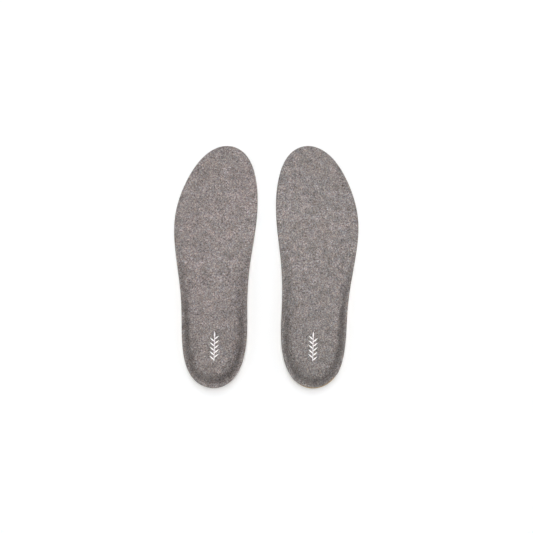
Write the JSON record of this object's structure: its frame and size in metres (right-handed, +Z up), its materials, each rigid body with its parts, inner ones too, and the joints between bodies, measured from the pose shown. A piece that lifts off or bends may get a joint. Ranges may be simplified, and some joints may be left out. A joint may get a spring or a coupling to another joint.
{
  "type": "cushioned insole pair",
  "caption": "Pair of cushioned shoe insoles with a felt top, a cupped foam heel, a raised arch and a flexing forefoot.",
  "frame": {"origin": "centre of the pair on the surface they lie on", "axes": "+Y towards the toes, +X towards the right insole, +Z up out of the felt"},
  "size_m": [0.2098, 0.277, 0.0244],
  "materials": {
    "felt": "matte",
    "web": "satin",
    "foam": "matte",
    "soft_pad": "matte",
    "print": "satin"
  },
  "bodies": {
    "left_rear": {"left_footbed_rear": "foam", "left_web_rear": "web", "left_cover_rear": "felt", "left_heel_pad": "soft_pad", "left_heel_mark": "print"},
    "left_fore": {"left_footbed_fore": "foam", "left_web_fore": "web", "left_cover_fore": "felt", "left_ball_pad": "soft_pad"},
    "right_rear": {"right_footbed_rear": "foam", "right_web_rear": "web", "right_cover_rear": "felt", "right_heel_pad": "soft_pad", "right_heel_mark": "print"},
    "right_fore": {"right_footbed_fore": "foam", "right_web_fore": "web", "right_cover_fore": "felt", "right_ball_pad": "soft_pad"}
  },
  "joints": [
    {"name": "left_flex", "type": "hinge", "parent": "left_rear", "child": "left_fore", "pos_m": [-0.058, 0.0465, 0.0082], "axis": [0.9686, 0.2486, 0], "range_deg": [0, 55], "stiffness_Nm_per_rad": 0.1},
    {"name": "right_flex", "type": "hinge", "parent": "right_rear", "child": "right_fore", "pos_m": [0.058, 0.0485, 0.0082], "axis": [0.9686, -0.2486, 0], "range_deg": [0, 55], "stiffness_Nm_per_rad": 0.1},
    {"name": "right_lift", "type": "slide", "parent": "left_rear", "child": "right_rear", "axis": [0, 0, 1], "range_m": [0, 0.06]}
  ]
}
